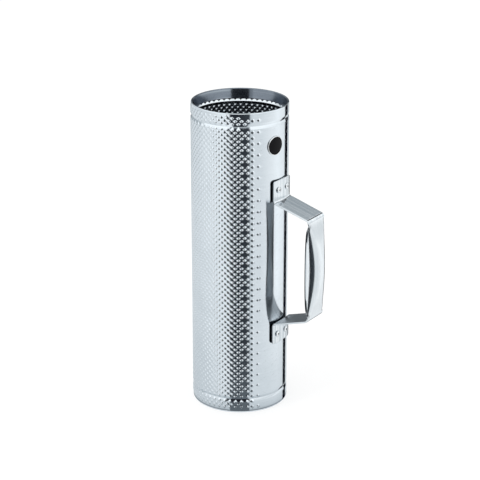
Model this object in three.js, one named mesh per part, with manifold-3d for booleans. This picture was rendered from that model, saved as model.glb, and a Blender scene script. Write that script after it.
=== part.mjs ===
// Metal guiro: an embossed steel tube, open at both ends, with a formed steel handle riveted to its side.
// Millimetres, +Z up. The handle points along +X, and the origin is under the middle of the whole object.
import * as THREE from "three";
import { mergeVertices } from "three/addons/utils/BufferGeometryUtils.js";
import Module from "manifold-3d";

const wasm = await Module();
wasm.setup();

// Tube
const tubeHeight = 326;
const tubeRadius = 50;
const tubeWall = 1;
const hemDepth = 10.5;
const plainWidth = 54;
const domePitch = 9.6;
const domeHeight = 0.8;
const rimMargin = 3.5;
const grooveWidth = 5.5;
const grooveDepth = 0.9;
const topGrooveInset = 14;
const bottomGrooveInset = 17.3;
const grooveSteps = 4;
const plainColumns = 8;

// Handle strap
const strapThickness = 1.8;
const strapHalfWidth = 15.5;
const cornerHalfWidth = 15.2;
const handleLength = 178.4;
const footLength = 22.2;
const footCorner = 3;
const footCurve = 100;
const rootBend = 2.2;
const cornerBend = 4.5;
const bendSteps = 4;

// Grip: its ridge stands off at the corners by gripReach and bows out by gripBow more at mid-height
const gripLength = 110;
const gripReach = 42.2;
const gripBow = 8.5;
const bowPower = 1.3;
const gripHalfWidth = 12.3;
const gripEdgeRadius = 12.3;
const leastEdgeRadius = 2.6;
const lipRadius = 4.4;
const lipTurnDegrees = 70;
const edgeTurnShare = 0.25;

// Rivets, two in each foot
const rivetSpacing = 15.5;
const rivetInset = 10.2;
const rivetShankRadius = 1.6;
const rivetBoreRadius = 1.1;
const rivetHeadRadius = 3.3;
const rivetHeadHeight = 1.2;
const rivetBulbRadius = 2.5;
const rivetBulbLength = 3.2;
const stemRadius = 0.8;
const stemHeadRadius = 1.5;
const stemHeadLength = 1.4;
const stemRecess = 0.5;

// Badge on the smooth strip, beside the handle's middle line
const badgeRadius = 10;
const badgeInset = 37;
const badgeOffset = 10.3;
const badgeBase = 0.4;
const badgeRimHeight = 0.9;
const badgeRimWidth = 0.8;

// Clearances and overruns
const fitGap = 0.3;
const cutOverrun = 5;

// Facets round the turned and drilled shapes
const boreSteps = 12;
const turnedSteps = 8;
const headSteps = 3;
const drumSteps = 100;
const badgeSteps = 28;

const steel = { color: 0xc9cdd1, roughness: 0.28, metalness: 1 };
const brushedSteel = { color: 0xbfc3c7, roughness: 0.4, metalness: 1 };
const rivetSteel = { color: 0xd2d4d6, roughness: 0.3, metalness: 1 };
const darkSteel = { color: 0x6b6e72, roughness: 0.5, metalness: 1 };
const blackEnamel = { color: 0x0c0c0d, roughness: 0.2, metalness: 0 };

// Closed mesh to solid and back
function solidOf(geometry) {
  const bare = geometry.clone();
  bare.deleteAttribute("normal");
  bare.deleteAttribute("uv");
  const merged = mergeVertices(bare);
  const vertProperties = new Float32Array(merged.attributes.position.array);
  const triVerts = new Uint32Array(merged.index.array);
  return new wasm.Manifold(new wasm.Mesh({ numProp: 3, vertProperties, triVerts }));
}

function geometryOf(solid) {
  const { vertProperties, triVerts } = solid.getMesh();
  const geometry = new THREE.BufferGeometry();
  geometry.setAttribute("position", new THREE.BufferAttribute(vertProperties, 3));
  geometry.setIndex(new THREE.BufferAttribute(triVerts, 1));
  const faceted = geometry.toNonIndexed();
  faceted.computeVertexNormals();
  return faceted;
}

function piece(name, geometry, look) {
  const mesh = new THREE.Mesh(geometry, new THREE.MeshStandardMaterial(look));
  mesh.name = name;
  return mesh;
}

// Quads between neighbouring rings of equal length. A loop of rings closes on itself, and a run of rings
// has each end closed across, point k of a ring against its mirror on the other face.
function loft(rings, isLoop, slantsBack) {
  const around = rings[0].length;
  const corner = (row, column) => (row % rings.length) * around + (column % around);
  const faces = [];
  const spans = isLoop ? rings.length : rings.length - 1;
  for (let row = 0; row < spans; row += 1) {
    for (let column = 0; column < around; column += 1) {
      const a = corner(row, column);
      const b = corner(row, column + 1);
      const c = corner(row + 1, column + 1);
      const d = corner(row + 1, column);
      if (slantsBack(row, column)) faces.push(a, b, d, b, c, d);
      else faces.push(a, b, c, a, c, d);
    }
  }
  if (!isLoop) {
    for (let k = 0; k < around / 2 - 1; k += 1) {
      const mirror = around - 1 - k;
      faces.push(corner(0, k), corner(0, mirror), corner(0, k + 1));
      faces.push(corner(0, k + 1), corner(0, mirror), corner(0, mirror - 1));
      faces.push(corner(spans, k), corner(spans, k + 1), corner(spans, mirror));
      faces.push(corner(spans, k + 1), corner(spans, mirror - 1), corner(spans, mirror));
    }
  }
  const geometry = new THREE.BufferGeometry();
  const places = rings.flat().flatMap((point) => point.toArray());
  geometry.setAttribute("position", new THREE.Float32BufferAttribute(places, 3));
  geometry.setIndex(faces);
  return geometry;
}

// Rod along +X from one x to another, for drilling
function rodAlongX(radius, fromX, toX, y, z) {
  const rod = new THREE.CylinderGeometry(radius, radius, toX - fromX, boreSteps);
  rod.rotateZ(Math.PI / 2);
  rod.translate((fromX + toX) / 2, y, z);
  return solidOf(rod);
}

// Sizes that follow from the ones above
const middle = tubeHeight / 2;
const footSeat = tubeRadius + fitGap;
const footFace = footSeat + strapThickness;
const footDropAtRivet = footCurve - Math.sqrt(footCurve ** 2 - (rivetSpacing / 2) ** 2);
const gripRidge = footSeat + gripReach + gripBow;
const circumference = 2 * Math.PI * tubeRadius;
const rivetHeight = handleLength / 2 - rivetInset;
const rivetPlaces = [
  { name: "upper_front", y: -rivetSpacing / 2, z: middle + rivetHeight },
  { name: "upper_rear", y: rivetSpacing / 2, z: middle + rivetHeight },
  { name: "lower_front", y: -rivetSpacing / 2, z: middle - rivetHeight },
  { name: "lower_rear", y: rivetSpacing / 2, z: middle - rivetHeight },
];

// Places round the tube: a smooth strip centred on +X, then the embossed field
function tubeColumns() {
  const plainAngle = plainWidth / tubeRadius;
  const fieldAngle = 2 * Math.PI - plainAngle;
  const fieldColumns = 2 * Math.round((circumference - plainWidth) / domePitch);
  const columns = [];
  for (let k = 0; k < plainColumns; k += 1) {
    columns.push({ angle: plainAngle * (k / plainColumns - 0.5), step: 0 });
  }
  for (let k = 0; k < fieldColumns; k += 1) {
    columns.push({ angle: plainAngle / 2 + (fieldAngle * k) / fieldColumns, step: k });
  }
  return columns;
}

// Rows up a stretch of embossed wall, plain at both of its ends
function fieldRows(fromZ, toZ) {
  const spans = Math.max(1, Math.round((2 * (toZ - fromZ)) / domePitch));
  const rows = [];
  for (let k = 0; k <= spans; k += 1) {
    rows.push({ z: fromZ + ((toZ - fromZ) * k) / spans, inset: 0, step: k % spans });
  }
  return rows;
}

// Rows of a round groove pressed into the wall, without its two edges
function grooveRows(centreZ) {
  const rows = [];
  for (let k = 1; k < grooveSteps; k += 1) {
    const part = k / grooveSteps;
    rows.push({
      z: centreZ + grooveWidth * (part - 0.5),
      inset: grooveDepth * Math.sin(Math.PI * part) ** 2,
      step: 0,
    });
  }
  return rows;
}

// The wall's outline runs up the outside and down the inside. A dome is one raised point among four low
// ones. At both ends the sheet's edge is folded in, as a second thickness inside the first.
function tubeGeometry() {
  const topGroove = tubeHeight - topGrooveInset;
  const bottomGroove = bottomGrooveInset;
  const grooveHalf = grooveWidth / 2;
  const outside = [
    { z: 0, inset: 0, step: 0 },
    ...fieldRows(rimMargin, bottomGroove - grooveHalf),
    ...grooveRows(bottomGroove),
    ...fieldRows(bottomGroove + grooveHalf, topGroove - grooveHalf),
    ...grooveRows(topGroove),
    ...fieldRows(topGroove + grooveHalf, tubeHeight - rimMargin),
    { z: tubeHeight, inset: 0, step: 0 },
  ];
  const inside = [
    { z: tubeHeight, inset: tubeWall },
    { z: tubeHeight - hemDepth, inset: tubeWall },
    { z: tubeHeight - hemDepth, inset: 0 },
    { z: topGroove + grooveHalf, inset: 0 },
    ...grooveRows(topGroove).reverse(),
    { z: topGroove - grooveHalf, inset: 0 },
    { z: bottomGroove + grooveHalf, inset: 0 },
    ...grooveRows(bottomGroove).reverse(),
    { z: bottomGroove - grooveHalf, inset: 0 },
    { z: hemDepth, inset: 0 },
    { z: hemDepth, inset: tubeWall },
    { z: 0, inset: tubeWall },
  ].map(({ z, inset }) => ({ z, inset: inset + tubeWall, step: 0 }));
  const rows = [...outside, ...inside];
  const columns = tubeColumns();
  const isOdd = (row, column) => (row.step + column.step) % 2 === 1;
  const isDome = (row, column) => row.step > 0 && column.step > 0 && !isOdd(row, column);
  const rings = rows.map((row) =>
    columns.map((column) => {
      const radius = tubeRadius - row.inset + (isDome(row, column) ? domeHeight : 0);
      return new THREE.Vector3(radius * Math.cos(column.angle), radius * Math.sin(column.angle), row.z);
    }),
  );
  return loft(rings, true, (row, column) => !isOdd(rows[row], columns[column]));
}

function tube() {
  let solid = solidOf(tubeGeometry());
  for (const { y, z } of rivetPlaces) {
    solid = solid.subtract(rodAlongX(rivetShankRadius + fitGap, 0, tubeRadius + cutOverrun, y, z));
  }
  return piece("tube", geometryOf(solid), steel);
}

// Shares of the foot's corner radius, from the foot's end, at which it has its sections
const cornerShares = [0, 0.15, 0.45, 1];

// Shares of the grip's half length, corner to middle, at which it has its sections
const gripShares = [0.96, 0.9, 0.82, 0.7, 0.56, 0.4, 0.2, 0];

// Shares of the strap's half width, middle to edge, at which a section has its points
const acrossShares = [0, 0.25, 0.45, 0.6, 0.74, 0.87, 1];

// Point of a section at a share of the way from its middle to one edge. The strap runs flat, turns in
// round the edge radius and then rolls under round the lip. u is across, v is out from the strap's face.
function sectionPoint(station, share, side, depth) {
  const { halfWidth, edgeRadius, edgeTurn, lipTurn } = station;
  const widestTurn = Math.min(edgeTurn + lipTurn, Math.PI / 2);
  const lipReach = lipRadius * (Math.sin(widestTurn) - Math.sin(edgeTurn));
  const flat = halfWidth - edgeRadius * Math.sin(edgeTurn) - lipReach;
  const length = flat + edgeRadius * edgeTurn + lipRadius * lipTurn;
  const run = share * length;
  const turned = Math.min(Math.max(run - flat, 0) / edgeRadius, edgeTurn);
  const rolled = Math.max(run - flat - edgeRadius * edgeTurn, 0) / lipRadius;
  const turn = turned + rolled;
  const edgeU = edgeRadius * Math.sin(turned) + lipRadius * (Math.sin(turn) - Math.sin(turned));
  const edgeV = edgeRadius * (1 - Math.cos(turned)) + lipRadius * (Math.cos(turned) - Math.cos(turn));
  const u = Math.min(run, flat) + edgeU - depth * Math.sin(turn);
  const v = -edgeV - depth * Math.cos(turn);
  return { u: side * u, v };
}

// One ring of the strap: across its outer face, then back across its inner face
function strapRing(station) {
  const leftToRight = [
    ...acrossShares.slice(1).reverse().map((share) => ({ share, side: -1 })),
    ...acrossShares.map((share) => ({ share, side: 1 })),
  ];
  const place = ({ share, side }, depth) => {
    const { u, v } = sectionPoint(station, share, side, depth);
    return new THREE.Vector3(station.x + v * station.outX, u, station.z + v * station.outZ);
  };
  const outer = leftToRight.map((point) => place(point, 0));
  const inner = leftToRight.map((point) => place(point, strapThickness)).reverse();
  return [...outer, ...inner];
}

// A station of the strap outside the grip: its face at (x, z), turned by an angle from straight down towards
// straight out. It is hollowed towards the tube by a share of the foot's curve.
function plainStation(x, z, angle, halfWidth, curveShare) {
  const bend = curveShare / footCurve;
  return {
    x,
    z,
    outX: Math.cos(angle),
    outZ: Math.sin(angle),
    halfWidth,
    edgeRadius: bend > 0 ? 1 / bend : leastEdgeRadius,
    edgeTurn: Math.asin(halfWidth * bend),
    lipTurn: 0,
  };
}

// Station of the grip, from 1 where the upper corner ends through 0 at mid-height to -1 at the lower corner
function gripStation(place, halfLength) {
  const fullness = 1 - place * place;
  const bowSlope = (2 * place * gripBow * bowPower * fullness ** (bowPower - 1)) / halfLength;
  const angle = Math.atan(bowSlope);
  const quarter = Math.PI / 2;
  return {
    x: footSeat + gripReach + gripBow * fullness ** bowPower,
    z: place * halfLength,
    outX: Math.cos(angle),
    outZ: Math.sin(angle),
    halfWidth: cornerHalfWidth + (gripHalfWidth - cornerHalfWidth) * fullness,
    edgeRadius: Math.max(leastEdgeRadius, gripEdgeRadius * fullness),
    edgeTurn: quarter * Math.min(1, fullness / edgeTurnShare),
    lipTurn: THREE.MathUtils.degToRad(lipTurnDegrees) * Math.sqrt(fullness),
  };
}

// Stations of the upper half of the strap, from the foot's end to the middle of the grip
function upperStations() {
  const stations = [];
  const footEnd = handleLength / 2;
  const footRoot = footEnd - footLength;
  for (const part of cornerShares) {
    const narrow = footCorner * (1 - Math.sqrt(1 - (1 - part) ** 2));
    stations.push(plainStation(footFace, footEnd - footCorner * part, 0, strapHalfWidth - narrow, 1));
  }
  const corner = { x: footSeat + gripReach, z: gripLength / 2 };
  const slope = Math.atan2(corner.x - footFace, footRoot - corner.z);
  const rootTangent = rootBend * Math.tan(slope / 2);
  const cornerTangent = cornerBend * Math.tan(slope / 2);
  for (let k = 0; k <= bendSteps; k += 1) {
    const angle = (slope * k) / bendSteps;
    const x = footFace + rootBend * (1 - Math.cos(angle));
    const z = footRoot + rootTangent - rootBend * Math.sin(angle);
    stations.push(plainStation(x, z, angle, strapHalfWidth, 1 - k / bendSteps));
  }
  for (let k = 0; k <= bendSteps; k += 1) {
    const angle = slope * (1 - k / bendSteps);
    const x = corner.x - cornerBend * (1 - Math.cos(angle));
    const z = corner.z - cornerTangent + cornerBend * Math.sin(angle);
    stations.push(plainStation(x, z, angle, cornerHalfWidth, 0));
  }
  for (const share of gripShares) stations.push(gripStation(share, corner.z - cornerTangent));
  return stations;
}

function handle() {
  const upper = upperStations();
  const lower = upper.slice(0, -1).reverse();
  const mirrored = lower.map((station) => ({ ...station, z: -station.z, outZ: -station.outZ }));
  const rings = [...upper, ...mirrored].map(strapRing).reverse();
  const strap = loft(rings, false, () => false);
  strap.translate(0, 0, middle);
  let solid = solidOf(strap);
  for (const { y, z } of rivetPlaces) {
    const hole = rodAlongX(rivetShankRadius + fitGap, footSeat - cutOverrun, footFace + cutOverrun, y, z);
    solid = solid.subtract(hole);
  }
  return piece("handle", geometryOf(solid), brushedSteel);
}

// Revolved profile of (radius, distance out) points, with its axis along +X
function turned(profile) {
  const points = profile.map(([radius, out]) => new THREE.Vector2(radius, out));
  const geometry = new THREE.LatheGeometry(points, turnedSteps);
  geometry.rotateZ(-Math.PI / 2);
  return geometry;
}

// Blind rivet in its hole: the head seats on the foot and the bulb on the inside of the tube
function rivet({ name, y, z }) {
  const head = footFace - footDropAtRivet + fitGap;
  const outermost = Math.abs(y) + rivetBulbRadius;
  const seat = Math.sqrt((tubeRadius - tubeWall) ** 2 - outermost ** 2) - fitGap;
  const bulbSeat = seat - head;
  const bulbEnd = bulbSeat - rivetBulbLength;
  const dome = [];
  for (let k = 0; k <= headSteps; k += 1) {
    const angle = (Math.PI / 2) * (k / headSteps);
    dome.push([
      rivetBoreRadius + (rivetHeadRadius - rivetBoreRadius) * Math.cos(angle),
      rivetHeadHeight * Math.sin(angle),
    ]);
  }
  const bodyProfile = [
    [rivetBoreRadius, bulbEnd],
    [rivetShankRadius, bulbEnd],
    [rivetBulbRadius, (bulbSeat + bulbEnd) / 2],
    [rivetBulbRadius, bulbSeat],
    [rivetShankRadius, bulbSeat],
    [rivetShankRadius, 0],
    ...dome,
    [rivetBoreRadius, bulbEnd],
  ];
  const stemEnd = bulbEnd - fitGap;
  const stemProfile = [
    [0, stemEnd - stemHeadLength],
    [stemHeadRadius, stemEnd - stemHeadLength],
    [stemHeadRadius, stemEnd],
    [stemRadius, stemEnd],
    [stemRadius, rivetHeadHeight - stemRecess],
    [0, rivetHeadHeight - stemRecess],
  ];
  const body = piece(`rivet_${name}`, turned(bodyProfile), rivetSteel);
  const stem = piece(`rivet_stem_${name}`, turned(stemProfile), darkSteel);
  for (const mesh of [body, stem]) mesh.position.set(head, y, z);
  return [body, stem];
}

// Part of a round shell about the tube's axis that lies inside a round outline facing out from it
function roundPatch(outlineRadius, innerRadius, outerRadius) {
  const length = 2 * (outlineRadius + cutOverrun);
  const drum = (radius, reach) => {
    const cylinder = new THREE.CylinderGeometry(radius, radius, reach, drumSteps);
    return solidOf(cylinder.rotateX(Math.PI / 2));
  };
  const shell = drum(outerRadius, length).subtract(drum(innerRadius, length + cutOverrun));
  const outline = new THREE.CylinderGeometry(outlineRadius, outlineRadius, outerRadius, badgeSteps);
  outline.rotateZ(Math.PI / 2);
  outline.translate(outerRadius - fitGap, 0, 0);
  return shell.intersect(solidOf(outline));
}

function badge() {
  const back = tubeRadius + fitGap;
  const floor = back + badgeBase;
  const rim = back + badgeRimHeight;
  const well = badgeRadius - badgeRimWidth;
  const plate = roundPatch(badgeRadius, back, rim).subtract(roundPatch(well, floor, rim + cutOverrun));
  const inlay = roundPatch(well - fitGap, floor + fitGap, rim);
  const pieces = [
    piece("badge_plate", geometryOf(plate), rivetSteel),
    piece("badge_inlay", geometryOf(inlay), blackEnamel),
  ];
  for (const mesh of pieces) {
    mesh.rotation.z = -badgeOffset / tubeRadius;
    mesh.position.z = tubeHeight - badgeInset;
  }
  return pieces;
}

const guiro = new THREE.Group();
guiro.add(tube(), handle(), ...rivetPlaces.flatMap(rivet), ...badge());
guiro.position.x = -(gripRidge - tubeRadius - domeHeight) / 2;

export default guiro;
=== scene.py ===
"""Metal guiro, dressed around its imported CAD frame. Lengths are in millimetres until a mesh is made.

The tube's axis stands on the floor and the handle points along +X. An angle round the tube counts from +X,
and a bearing counts from the direction to the camera, to the right as the camera sees it.
"""

import math

import bpy
import numpy as np
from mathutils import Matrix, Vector


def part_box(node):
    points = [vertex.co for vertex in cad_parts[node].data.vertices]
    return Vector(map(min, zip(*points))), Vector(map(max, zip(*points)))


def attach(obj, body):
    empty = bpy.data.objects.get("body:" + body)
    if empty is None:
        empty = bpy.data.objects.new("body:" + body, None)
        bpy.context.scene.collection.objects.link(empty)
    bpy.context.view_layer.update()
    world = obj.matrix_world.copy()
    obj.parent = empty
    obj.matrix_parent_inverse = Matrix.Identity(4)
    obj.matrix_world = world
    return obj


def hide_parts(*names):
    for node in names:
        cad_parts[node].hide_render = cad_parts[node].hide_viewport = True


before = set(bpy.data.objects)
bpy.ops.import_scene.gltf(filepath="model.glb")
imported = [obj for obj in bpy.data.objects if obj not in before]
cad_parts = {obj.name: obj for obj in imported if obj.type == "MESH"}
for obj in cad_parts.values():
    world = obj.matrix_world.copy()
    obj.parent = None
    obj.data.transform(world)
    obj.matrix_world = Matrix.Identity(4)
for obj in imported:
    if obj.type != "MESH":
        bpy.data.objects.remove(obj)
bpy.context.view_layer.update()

MM = 0.001

# Tube
TUBE_RADIUS = 50.0
TUBE_WALL = 1.0
TUBE_HEIGHT = 326.0
HEM_DEPTH = 10.5
HEM_ROUNDING = 0.8
HEM_EDGE_ROUNDING = 0.25
HEM_CLEARANCE = 0.2
HEM_LEAN = 1.4
HEM_TILT_DEGREES = 15.0
HEM_START_DEGREES = 110
GROOVE_DEPTH = 0.9
GROOVE_LINES = (4, 103)
GROOVE_SHOULDER_SHARE = 0.6
FOLD_STEPS = (0, 22.5, 45, 67.5, 90)

# Lattice of domes: every second crossing of its columns and lines is a site for one
FIELD_START_DEGREES = -34.5
COLUMN_STEP_DEGREES = 3.4377
FIELD_COLUMNS = 85
STRIP_CELLS = 12
ROW_STEP = 3.0
LOWEST_LINE_Z = 3.3
ROW_LINES = 108
DOME_RADIUS = 2.05
DOME_MID_RADIUS = 1.02
PIT_RADIUS = 1.2

# A dome's (distance from its middle, height, slope of its shading), and how much steeper than the faces
# the shading of the grooves and of the pits inside is
DOME_PROFILE = ((0, 0.62, 0), (DOME_MID_RADIUS, 0.37, 0.58), (DOME_RADIUS, 0, 0.24))
GROOVE_LEAN_OUTSIDE = 1.4
PIT_LEAN = 1.5
GROOVE_LEAN_INSIDE = 1.8

# The sheet's three materials, in the order in which it carries them
OUTSIDE_SLOT, INSIDE_SLOT, HEM_SLOT = range(3)

# Columns of the field, counted inward from either edge, with no domes or with fewer
EMPTY_EDGE_COLUMNS = (1, 3)
SPARSE_EDGE_COLUMNS = (0, 5)

# Handle strap
STRAP_THICKNESS = 1.8
STRAP_HALF_WIDTH = 15.5
CORNER_HALF_WIDTH = 15.2
HANDLE_LENGTH = 178.4
FOOT_LENGTH = 22.2
FOOT_CORNER = 3.0
FOOT_CURVE = 100.0
ROOT_BEND = 2.2
CORNER_BEND = 4.5
GRIP_LENGTH = 110.0
GRIP_REACH = 42.2
GRIP_BOW = 8.5
BOW_POWER = 1.3
GRIP_HALF_WIDTH = 12.3
GRIP_EDGE_RADIUS = 12.3
LEAST_EDGE_RADIUS = 2.6
LIP_RADIUS = 4.4
LIP_TURN = math.radians(70)
EDGE_TURN_SHARE = 0.25
EDGE_ROUNDING = 0.4
FOOT_END_STEPS = 3
FOOT_CORNER_STEPS = 8
BEND_STEPS = 8
GRIP_STEPS = 26
ACROSS_STEPS = 20
EDGE_STEPS = 7
FIT_GAP = 0.3

# Painted shade on the strap, from 0 for bare steel to 1: on the inner face that faces the tube, in the
# shadowed crevice where the feet stand off the tube, and as painted dark reflections along the grip's cut
# edges and rolled lips
INNER_FACE_PAINTED_SHADE = 0.55
ROOT_FACE_PAINTED_SHADE = 0.22
ROOT_REACH = 10.0
ARM_PAINTED_SHADE_START = 0.3
GRIP_END_MARGIN = 2.0
GRIP_CUT_PAINTED_SHADE = 0.8
GRIP_LIP_WIDTH = 3.6
GRIP_LIP_MARGIN = 3.0
GRIP_LIP_FADE = 9.0

# Rivets
RIVET_SPACING = 15.5
RIVET_INSET = 10.2
SHANK_RADIUS = 1.6
BORE_RADIUS = 1.1
HEAD_RADIUS = 3.3
HEAD_HEIGHT = 1.2
BULB_RADIUS = 2.5
BULB_LENGTH = 3.2
STEM_RADIUS = 1.05
STEM_HEAD_RADIUS = 1.5
STEM_HEAD_LENGTH = 1.4
STEM_RECESS = 0.1
HEAD_BRIM = 0.35
HEAD_STEPS = 12
BULB_STEPS = 10
RIVET_STEPS = 32
SHARP_ANGLE = math.radians(40)

# Badge
BADGE_RADIUS = 10.0
BADGE_Z = 289.0
BADGE_OFFSET = 10.3
BADGE_BASE = 0.4
BADGE_RIM_HEIGHT = 0.9
BADGE_RIM_WIDTH = 0.8
BADGE_STEPS = 72
FILLING_RECESS = 0.2
FILLING_GAP = 0.05
FILLING_ROUNDING = 0.12
FILLING_CROWN = 0.06

# Camera, fitted to the photo
CAMERA_BEARING = 56.8
CAMERA_DISTANCE = 1642.3
CAMERA_HEIGHT = 782.6
CAMERA_PITCH = 20.297
CAMERA_LENS = 125.8

MIDDLE_Z = TUBE_HEIGHT / 2
AXIS_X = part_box("tube")[1].x / MM - TUBE_RADIUS
FOOT_SEAT = TUBE_RADIUS + FIT_GAP
FOOT_FACE = FOOT_SEAT + STRAP_THICKNESS
FOOT_DROP_AT_RIVET = FOOT_CURVE - math.sqrt(FOOT_CURVE ** 2 - (RIVET_SPACING / 2) ** 2)


# Meshes

def add_mesh(name, points, faces, normals=None):
    """Makes an object from points in millimetres about the tube's axis and links it to the scene.

    normals holds one vector for each corner of each face.
    """
    places = (np.array(points, float) + (AXIS_X, 0, 0)) * MM
    mesh = bpy.data.meshes.new(name)
    mesh.from_pydata(places.tolist(), [], faces)
    mesh.polygons.foreach_set("use_smooth", [True] * len(mesh.polygons))
    mesh.update()
    if normals is not None:
        mesh.normals_split_custom_set(normals)
    made = bpy.data.objects.new(name, mesh)
    bpy.context.scene.collection.objects.link(made)
    return made


def add_attribute(piece, name, kind, values):
    attribute = piece.data.attributes.new(name, kind, "POINT")
    key = "vector" if kind == "FLOAT_VECTOR" else "value"
    attribute.data.foreach_set(key, np.array(values, np.float32).ravel())


def dress(piece, slot, nodes, *materials):
    """Gives a piece its materials and its body, and hides the CAD nodes that it stands for. The slot is not
    used.
    """
    for material in materials:
        piece.data.materials.append(material)
    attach(piece, "root")
    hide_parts(*nodes)
    return piece


# Tube

def groove_press(z):
    """How deep the two grooves press the wall in at a height."""
    away = min(abs(z - line_z(line)) for line in GROOVE_LINES)
    return GROOVE_DEPTH * max(0.0, 1 - away / ROW_STEP)


def groove_slope(cell_line, z):
    """How fast that depth grows upward at a height in the row of cells above a line."""
    for line in GROOVE_LINES:
        if cell_line in (line - 1, line):
            steepness = GROOVE_DEPTH / ROW_STEP * (1 if cell_line < line else -1)
            shoulder = abs(z - line_z(line)) / ROW_STEP
            return steepness * (1 - (1 - GROOVE_SHOULDER_SHARE) * shoulder ** 2)
    return 0.0


def dome_rise(reach):
    """A dome's height at a distance from its middle, and how its shading leans there."""
    reaches, rises, leans = zip(*DOME_PROFILE)
    return float(np.interp(reach, reaches, rises)), -float(np.interp(reach, reaches, leans))


def column_angles():
    """Angles of the lattice's lines round the tube: the field's columns, then the smooth strip's."""
    step = math.radians(COLUMN_STEP_DEGREES)
    first = math.radians(FIELD_START_DEGREES)
    field = [first - step * column for column in range(FIELD_COLUMNS)]
    strip = (2 * math.pi + field[-1] - first) / STRIP_CELLS
    return field + [field[-1] - strip * cell for cell in range(1, STRIP_CELLS)]


def line_z(line):
    return LOWEST_LINE_Z + ROW_STEP * line


def is_site(column, line):
    return (column + line) % 2 == 1


def has_dome(column, line):
    """Whether the sheet is punched where a column crosses a line."""
    inward = min(column, FIELD_COLUMNS - 1 - column)
    if inward < 0 or not 1 <= line <= ROW_LINES - 2 or line in GROOVE_LINES:
        return False
    if inward in EMPTY_EDGE_COLUMNS or column == FIELD_COLUMNS - 1:
        return False
    if inward in SPARSE_EDGE_COLUMNS:
        return (line // 2) % 2 == (inward // 2) % 2
    return True


class Skin:
    """One face of the tube's wall, outer or inner: lattice points, with rings of points round each dome."""

    def __init__(self, radius, side, lines, ring_reaches, rays, has_mids):
        self.radius = radius
        self.side = side
        self.lines = lines
        self.ring_reaches = ring_reaches
        self.rays = rays
        self.has_mids = has_mids
        self.points, self.places, self.rises = [], [], []
        self.faces, self.corners = [], []
        self.angles = column_angles()

    def normal(self, place, cell_line):
        """The wall's normal at an (angle, height, slope, bearing) place, as the cells above a line see it."""
        angle, z, slope, bearing = place
        dome, groove = (1.0, GROOVE_LEAN_OUTSIDE) if self.side > 0 else (PIT_LEAN, GROOVE_LEAN_INSIDE)
        along = dome * slope * math.cos(bearing)
        up = dome * slope * math.sin(bearing) - groove * groove_slope(cell_line, z)
        out = Vector((math.cos(angle), math.sin(angle), 0))
        around = Vector((-out.y, out.x, 0))
        return (out - around * along - Vector((0, 0, up))).normalized() * self.side

    def add(self, angle, z, rise=0.0, slope=0.0, bearing=0.0):
        """Adds a point where the wall is raised by rise."""
        radius = self.radius + rise - groove_press(z)
        self.points.append((radius * math.cos(angle), radius * math.sin(angle), z))
        self.places.append((angle, z, slope, bearing))
        self.rises.append(rise / DOME_PROFILE[0][1])
        return len(self.points) - 1

    def face(self, cell_line, *corners):
        """Adds a face between points, in the cells above a line."""
        numbers = corners[::-1] if self.side > 0 else corners
        self.faces.append(tuple(numbers))
        self.corners += [self.normal(self.places[number], cell_line) for number in numbers]

    def lattice(self):
        """Adds every lattice point, and returns their numbers by column and line."""
        numbers = {}
        for column, angle in enumerate(self.angles):
            for line in self.lines:
                rise = dome_rise(0)[0] if self.punched(column, line) else 0.0
                numbers[column, line] = self.add(angle, line_z(line), rise)
        return numbers

    def punched(self, column, line):
        inside = self.lines[0] < line < self.lines[-1]
        return inside and is_site(column, line) and has_dome(column, line)

    def ring(self, column, line, reach, count):
        """Adds a ring of points round a site, the first one towards the next column's line."""
        made = []
        rise, slope = dome_rise(reach)
        for ray in range(count):
            bearing = 2 * math.pi * ray / count
            angle = self.angles[column] - reach * math.cos(bearing) / TUBE_RADIUS
            z = line_z(line) + reach * math.sin(bearing)
            made.append(self.add(angle, z, rise, slope, math.pi - bearing))
        return made

    def build(self):
        """Fills the wall from its lowest line to its highest, a quarter of a site's diamond at a time."""
        numbers = self.lattice()
        mids = {}
        for column in range(len(self.angles)):
            for line in self.lines:
                if not is_site(column, line):
                    continue
                rings = self.rings_at(column, line)
                neighbours = self.neighbours(column, line, numbers)
                for quarter in range(4):
                    first, second = neighbours[quarter], neighbours[(quarter + 1) % 4]
                    if first is None or second is None:
                        continue
                    mid = self.mid(column, line, quarter, mids) if self.has_mids else None
                    self.fill(column, line, numbers[column, line], rings, quarter, first, second, mid)
        return numbers

    def rings_at(self, column, line):
        if not self.punched(column, line):
            return []
        return [self.ring(column, line, *sizes) for sizes in zip(self.ring_reaches, self.rays)]

    def neighbours(self, column, line, numbers):
        """Valley points round a site: next column, above, column before and below."""
        after, before = [(column + step) % len(self.angles) for step in (1, -1)]
        places = ((after, line), (column, line + 1), (before, line), (column, line - 1))
        return [numbers.get(place) for place in places]

    def mid(self, column, line, quarter, mids):
        """The point in the middle of the lattice cell that a quarter lies in, shared with the site across."""
        columns = len(self.angles)
        cell_column = column if quarter in (0, 3) else column - 1
        cell_line = line if quarter in (0, 1) else line - 1
        key = (cell_column % columns, cell_line)
        if key not in mids:
            start = self.angles[key[0]]
            end = self.angles[(key[0] + 1) % columns]
            if end > start:
                end -= 2 * math.pi
            mids[key] = self.add((start + end) / 2, line_z(cell_line) + ROW_STEP / 2)
        return mids[key]

    def fill(self, column, line, centre, rings, quarter, first, second, mid):
        """Faces of one quarter of a site's diamond, from its middle out to the two valley points."""
        row = line if quarter in (0, 1) else line - 1
        if not rings:
            self.face(row, *[n for n in (centre, first, mid, second) if n is not None])
            return
        if mid is None:
            inner = rings[0]
            near, far = inner[quarter], inner[(quarter + 1) % 4]
            self.face(row, centre, near, far)
            self.face(row, near, first, second, far)
            return
        inner, outer = rings
        near, diagonal, far = [inner[(2 * quarter + k) % 8] for k in range(3)]
        start, end = outer[quarter], outer[(quarter + 1) % 4]
        self.face(row, centre, near, diagonal)
        self.face(row, centre, diagonal, far)
        self.face(row, near, start, mid, diagonal)
        self.face(row, diagonal, mid, end, far)
        self.face(row, start, first, mid)
        self.face(row, mid, second, end)


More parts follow.
